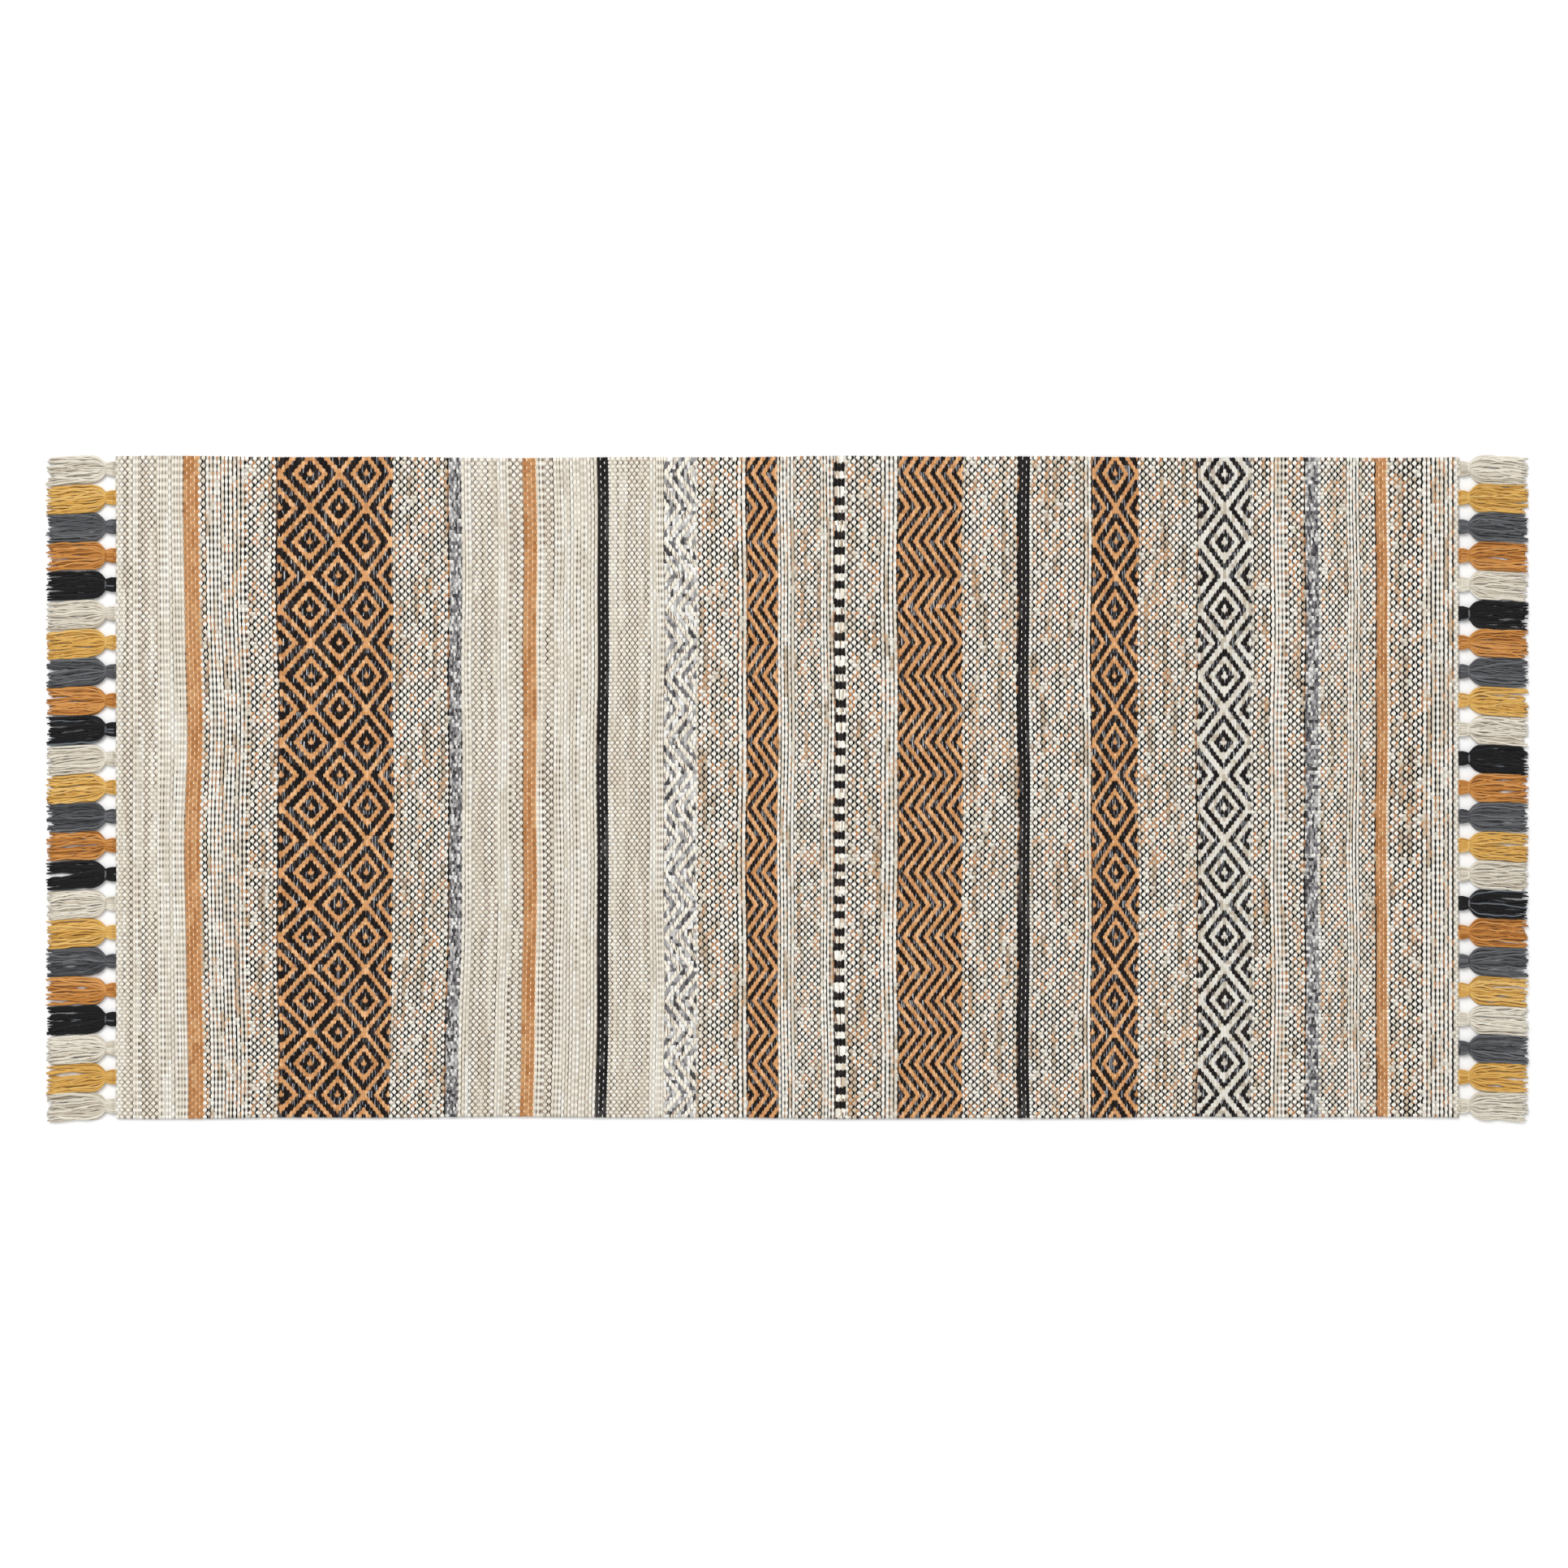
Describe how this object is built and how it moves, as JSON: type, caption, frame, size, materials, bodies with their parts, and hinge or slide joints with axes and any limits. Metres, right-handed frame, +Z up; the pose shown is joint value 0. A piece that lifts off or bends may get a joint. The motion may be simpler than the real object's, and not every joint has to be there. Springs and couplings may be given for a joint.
{
  "type": "runner rug",
  "caption": "Flat-woven cotton runner with bands of stripes, zigzags and diamonds, and a row of hinged tassels along each end.",
  "frame": {"origin": "middle of the rug's underside, on the floor", "axes": "+X runs along the rug, away from the end with the wide cream field, +Y across it, +Z up out of the patterned face"},
  "size_m": [1.3466, 0.6038, 0.0056],
  "materials": {
    "weave_cream": "cream cotton weft with thin brown flecks, plain weave, matt",
    "weave_melange": "speckled cotton weft in white, cream, tan, brown and black, plain weave, matt",
    "weave_mustard_black": "mustard weft floats on black, twill figure, matt",
    "weave_cream_black": "cream weft floats on black, twill figure, matt",
    "yarn_cream": "loose cotton strands, cream, matt",
    "yarn_yellow": "loose cotton strands, mustard yellow, matt",
    "yarn_orange": "loose cotton strands, burnt orange, matt",
    "yarn_grey": "loose cotton strands, charcoal grey, matt",
    "yarn_black": "loose cotton strands, black, matt"
  },
  "bodies": {
    "left_half": {"field_cream_end": "weave_cream", "field_melange_1": "weave_melange", "field_diamonds_wide": "weave_mustard_black", "field_melange_2": "weave_melange", "field_cream_striped": "weave_cream", "field_waves_zigzag": "weave_melange", "heading_left": "weave_cream"},
    "right_half": {"field_beads": "weave_melange", "field_zigzag_wide": "weave_mustard_black", "field_melange_3": "weave_melange", "field_diamonds_mustard": "weave_mustard_black", "field_diamonds_cream": "weave_cream_black", "field_melange_end": "weave_melange", "heading_right": "weave_cream"},
    "tassel_left_01": {"tassel_left_01": "yarn_cream"},
    "tassel_left_02": {"tassel_left_02": "yarn_yellow"},
    "tassel_left_03": {"tassel_left_03": "yarn_grey"},
    "tassel_left_04": {"tassel_left_04": "yarn_orange"},
    "tassel_left_05": {"tassel_left_05": "yarn_black"},
    "tassel_left_06": {"tassel_left_06": "yarn_cream"},
    "tassel_left_07": {"tassel_left_07": "yarn_yellow"},
    "tassel_left_08": {"tassel_left_08": "yarn_grey"},
    "tassel_left_09": {"tassel_left_09": "yarn_orange"},
    "tassel_left_10": {"tassel_left_10": "yarn_black"},
    "tassel_left_11": {"tassel_left_11": "yarn_cream"},
    "tassel_left_12": {"tassel_left_12": "yarn_yellow"},
    "tassel_left_13": {"tassel_left_13": "yarn_grey"},
    "tassel_left_14": {"tassel_left_14": "yarn_orange"},
    "tassel_left_15": {"tassel_left_15": "yarn_black"},
    "tassel_left_16": {"tassel_left_16": "yarn_cream"},
    "tassel_left_17": {"tassel_left_17": "yarn_yellow"},
    "tassel_left_18": {"tassel_left_18": "yarn_grey"},
    "tassel_left_19": {"tassel_left_19": "yarn_orange"},
    "tassel_left_20": {"tassel_left_20": "yarn_black"},
    "tassel_left_21": {"tassel_left_21": "yarn_cream"},
    "tassel_left_22": {"tassel_left_22": "yarn_yellow"},
    "tassel_left_23": {"tassel_left_23": "yarn_cream"},
    "tassel_right_01": {"tassel_right_01": "yarn_cream"},
    "tassel_right_02": {"tassel_right_02": "yarn_yellow"},
    "tassel_right_03": {"tassel_right_03": "yarn_grey"},
    "tassel_right_04": {"tassel_right_04": "yarn_orange"},
    "tassel_right_05": {"tassel_right_05": "yarn_cream"},
    "tassel_right_06": {"tassel_right_06": "yarn_black"},
    "tassel_right_07": {"tassel_right_07": "yarn_orange"},
    "tassel_right_08": {"tassel_right_08": "yarn_grey"},
    "tassel_right_09": {"tassel_right_09": "yarn_yellow"},
    "tassel_right_10": {"tassel_right_10": "yarn_cream"},
    "tassel_right_11": {"tassel_right_11": "yarn_black"},
    "tassel_right_12": {"tassel_right_12": "yarn_orange"},
    "tassel_right_13": {"tassel_right_13": "yarn_grey"},
    "tassel_right_14": {"tassel_right_14": "yarn_yellow"},
    "tassel_right_15": {"tassel_right_15": "yarn_cream"},
    "tassel_right_16": {"tassel_right_16": "yarn_black"},
    "tassel_right_17": {"tassel_right_17": "yarn_orange"},
    "tassel_right_18": {"tassel_right_18": "yarn_grey"},
    "tassel_right_19": {"tassel_right_19": "yarn_yellow"},
    "tassel_right_20": {"tassel_right_20": "yarn_cream"},
    "tassel_right_21": {"tassel_right_21": "yarn_grey"},
    "tassel_right_22": {"tassel_right_22": "yarn_yellow"},
    "tassel_right_23": {"tassel_right_23": "yarn_cream"}
  },
  "joints": [
    {"name": "rug_fold", "type": "hinge", "parent": "left_half", "child": "right_half", "pos_m": [-0.0085, 0, 0.0048], "axis": [0, -1, 0], "range_deg": [0, 165]},
    {"name": "tassel_left_01_swing", "type": "hinge", "parent": "left_half", "child": "tassel_left_01", "pos_m": [-0.6133, 0.2893, 0.0028], "axis": [0, 1, 0], "range_deg": [0, 120]},
    {"name": "tassel_left_02_swing", "type": "hinge", "parent": "left_half", "child": "tassel_left_02", "pos_m": [-0.6133, 0.263, 0.0028], "axis": [0, 1, 0], "range_deg": [0, 120]},
    {"name": "tassel_left_03_swing", "type": "hinge", "parent": "left_half", "child": "tassel_left_03", "pos_m": [-0.6133, 0.2367, 0.0028], "axis": [0, 1, 0], "range_deg": [0, 120]},
    {"name": "tassel_left_04_swing", "type": "hinge", "parent": "left_half", "child": "tassel_left_04", "pos_m": [-0.6133, 0.2104, 0.0028], "axis": [0, 1, 0], "range_deg": [0, 120]},
    {"name": "tassel_left_05_swing", "type": "hinge", "parent": "left_half", "child": "tassel_left_05", "pos_m": [-0.6133, 0.1841, 0.0028], "axis": [0, 1, 0], "range_deg": [0, 120]},
    {"name": "tassel_left_06_swing", "type": "hinge", "parent": "left_half", "child": "tassel_left_06", "pos_m": [-0.6133, 0.1578, 0.0028], "axis": [0, 1, 0], "range_deg": [0, 120]},
    {"name": "tassel_left_07_swing", "type": "hinge", "parent": "left_half", "child": "tassel_left_07", "pos_m": [-0.6133, 0.1315, 0.0028], "axis": [0, 1, 0], "range_deg": [0, 120]},
    {"name": "tassel_left_08_swing", "type": "hinge", "parent": "left_half", "child": "tassel_left_08", "pos_m": [-0.6133, 0.1052, 0.0028], "axis": [0, 1, 0], "range_deg": [0, 120]},
    {"name": "tassel_left_09_swing", "type": "hinge", "parent": "left_half", "child": "tassel_left_09", "pos_m": [-0.6133, 0.0789, 0.0028], "axis": [0, 1, 0], "range_deg": [0, 120]},
    {"name": "tassel_left_10_swing", "type": "hinge", "parent": "left_half", "child": "tassel_left_10", "pos_m": [-0.6133, 0.0526, 0.0028], "axis": [0, 1, 0], "range_deg": [0, 120]},
    {"name": "tassel_left_11_swing", "type": "hinge", "parent": "left_half", "child": "tassel_left_11", "pos_m": [-0.6133, 0.0263, 0.0028], "axis": [0, 1, 0], "range_deg": [0, 120]},
    {"name": "tassel_left_12_swing", "type": "hinge", "parent": "left_half", "child": "tassel_left_12", "pos_m": [-0.6133, 0, 0.0028], "axis": [0, 1, 0], "range_deg": [0, 120]},
    {"name": "tassel_left_13_swing", "type": "hinge", "parent": "left_half", "child": "tassel_left_13", "pos_m": [-0.6133, -0.0263, 0.0028], "axis": [0, 1, 0], "range_deg": [0, 120]},
    {"name": "tassel_left_14_swing", "type": "hinge", "parent": "left_half", "child": "tassel_left_14", "pos_m": [-0.6133, -0.0526, 0.0028], "axis": [0, 1, 0], "range_deg": [0, 120]},
    {"name": "tassel_left_15_swing", "type": "hinge", "parent": "left_half", "child": "tassel_left_15", "pos_m": [-0.6133, -0.0789, 0.0028], "axis": [0, 1, 0], "range_deg": [0, 120]},
    {"name": "tassel_left_16_swing", "type": "hinge", "parent": "left_half", "child": "tassel_left_16", "pos_m": [-0.6133, -0.1052, 0.0028], "axis": [0, 1, 0], "range_deg": [0, 120]},
    {"name": "tassel_left_17_swing", "type": "hinge", "parent": "left_half", "child": "tassel_left_17", "pos_m": [-0.6133, -0.1315, 0.0028], "axis": [0, 1, 0], "range_deg": [0, 120]},
    {"name": "tassel_left_18_swing", "type": "hinge", "parent": "left_half", "child": "tassel_left_18", "pos_m": [-0.6133, -0.1578, 0.0028], "axis": [0, 1, 0], "range_deg": [0, 120]},
    {"name": "tassel_left_19_swing", "type": "hinge", "parent": "left_half", "child": "tassel_left_19", "pos_m": [-0.6133, -0.1841, 0.0028], "axis": [0, 1, 0], "range_deg": [0, 120]},
    {"name": "tassel_left_20_swing", "type": "hinge", "parent": "left_half", "child": "tassel_left_20", "pos_m": [-0.6133, -0.2104, 0.0028], "axis": [0, 1, 0], "range_deg": [0, 120]},
    {"name": "tassel_left_21_swing", "type": "hinge", "parent": "left_half", "child": "tassel_left_21", "pos_m": [-0.6133, -0.2367, 0.0028], "axis": [0, 1, 0], "range_deg": [0, 120]},
    {"name": "tassel_left_22_swing", "type": "hinge", "parent": "left_half", "child": "tassel_left_22", "pos_m": [-0.6133, -0.263, 0.0028], "axis": [0, 1, 0], "range_deg": [0, 120]},
    {"name": "tassel_left_23_swing", "type": "hinge", "parent": "left_half", "child": "tassel_left_23", "pos_m": [-0.6133, -0.2893, 0.0028], "axis": [0, 1, 0], "range_deg": [0, 120]},
    {"name": "tassel_right_01_swing", "type": "hinge", "parent": "right_half", "child": "tassel_right_01", "pos_m": [0.6133, 0.2893, 0.0028], "axis": [0, -1, 0], "range_deg": [0, 120]},
    {"name": "tassel_right_02_swing", "type": "hinge", "parent": "right_half", "child": "tassel_right_02", "pos_m": [0.6133, 0.263, 0.0028], "axis": [0, -1, 0], "range_deg": [0, 120]},
    {"name": "tassel_right_03_swing", "type": "hinge", "parent": "right_half", "child": "tassel_right_03", "pos_m": [0.6133, 0.2367, 0.0028], "axis": [0, -1, 0], "range_deg": [0, 120]},
    {"name": "tassel_right_04_swing", "type": "hinge", "parent": "right_half", "child": "tassel_right_04", "pos_m": [0.6133, 0.2104, 0.0028], "axis": [0, -1, 0], "range_deg": [0, 120]},
    {"name": "tassel_right_05_swing", "type": "hinge", "parent": "right_half", "child": "tassel_right_05", "pos_m": [0.6133, 0.1841, 0.0028], "axis": [0, -1, 0], "range_deg": [0, 120]},
    {"name": "tassel_right_06_swing", "type": "hinge", "parent": "right_half", "child": "tassel_right_06", "pos_m": [0.6133, 0.1578, 0.0028], "axis": [0, -1, 0], "range_deg": [0, 120]},
    {"name": "tassel_right_07_swing", "type": "hinge", "parent": "right_half", "child": "tassel_right_07", "pos_m": [0.6133, 0.1315, 0.0028], "axis": [0, -1, 0], "range_deg": [0, 120]},
    {"name": "tassel_right_08_swing", "type": "hinge", "parent": "right_half", "child": "tassel_right_08", "pos_m": [0.6133, 0.1052, 0.0028], "axis": [0, -1, 0], "range_deg": [0, 120]},
    {"name": "tassel_right_09_swing", "type": "hinge", "parent": "right_half", "child": "tassel_right_09", "pos_m": [0.6133, 0.0789, 0.0028], "axis": [0, -1, 0], "range_deg": [0, 120]},
    {"name": "tassel_right_10_swing", "type": "hinge", "parent": "right_half", "child": "tassel_right_10", "pos_m": [0.6133, 0.0526, 0.0028], "axis": [0, -1, 0], "range_deg": [0, 120]},
    {"name": "tassel_right_11_swing", "type": "hinge", "parent": "right_half", "child": "tassel_right_11", "pos_m": [0.6133, 0.0263, 0.0028], "axis": [0, -1, 0], "range_deg": [0, 120]},
    {"name": "tassel_right_12_swing", "type": "hinge", "parent": "right_half", "child": "tassel_right_12", "pos_m": [0.6133, 0, 0.0028], "axis": [0, -1, 0], "range_deg": [0, 120]},
    {"name": "tassel_right_13_swing", "type": "hinge", "parent": "right_half", "child": "tassel_right_13", "pos_m": [0.6133, -0.0263, 0.0028], "axis": [0, -1, 0], "range_deg": [0, 120]},
    {"name": "tassel_right_14_swing", "type": "hinge", "parent": "right_half", "child": "tassel_right_14", "pos_m": [0.6133, -0.0526, 0.0028], "axis": [0, -1, 0], "range_deg": [0, 120]},
    {"name": "tassel_right_15_swing", "type": "hinge", "parent": "right_half", "child": "tassel_right_15", "pos_m": [0.6133, -0.0789, 0.0028], "axis": [0, -1, 0], "range_deg": [0, 120]},
    {"name": "tassel_right_16_swing", "type": "hinge", "parent": "right_half", "child": "tassel_right_16", "pos_m": [0.6133, -0.1052, 0.0028], "axis": [0, -1, 0], "range_deg": [0, 120]},
    {"name": "tassel_right_17_swing", "type": "hinge", "parent": "right_half", "child": "tassel_right_17", "pos_m": [0.6133, -0.1315, 0.0028], "axis": [0, -1, 0], "range_deg": [0, 120]},
    {"name": "tassel_right_18_swing", "type": "hinge", "parent": "right_half", "child": "tassel_right_18", "pos_m": [0.6133, -0.1578, 0.0028], "axis": [0, -1, 0], "range_deg": [0, 120]},
    {"name": "tassel_right_19_swing", "type": "hinge", "parent": "right_half", "child": "tassel_right_19", "pos_m": [0.6133, -0.1841, 0.0028], "axis": [0, -1, 0], "range_deg": [0, 120]},
    {"name": "tassel_right_20_swing", "type": "hinge", "parent": "right_half", "child": "tassel_right_20", "pos_m": [0.6133, -0.2104, 0.0028], "axis": [0, -1, 0], "range_deg": [0, 120]},
    {"name": "tassel_right_21_swing", "type": "hinge", "parent": "right_half", "child": "tassel_right_21", "pos_m": [0.6133, -0.2367, 0.0028], "axis": [0, -1, 0], "range_deg": [0, 120]},
    {"name": "tassel_right_22_swing", "type": "hinge", "parent": "right_half", "child": "tassel_right_22", "pos_m": [0.6133, -0.263, 0.0028], "axis": [0, -1, 0], "range_deg": [0, 120]},
    {"name": "tassel_right_23_swing", "type": "hinge", "parent": "right_half", "child": "tassel_right_23", "pos_m": [0.6133, -0.2893, 0.0028], "axis": [0, -1, 0], "range_deg": [0, 120]}
  ]
}
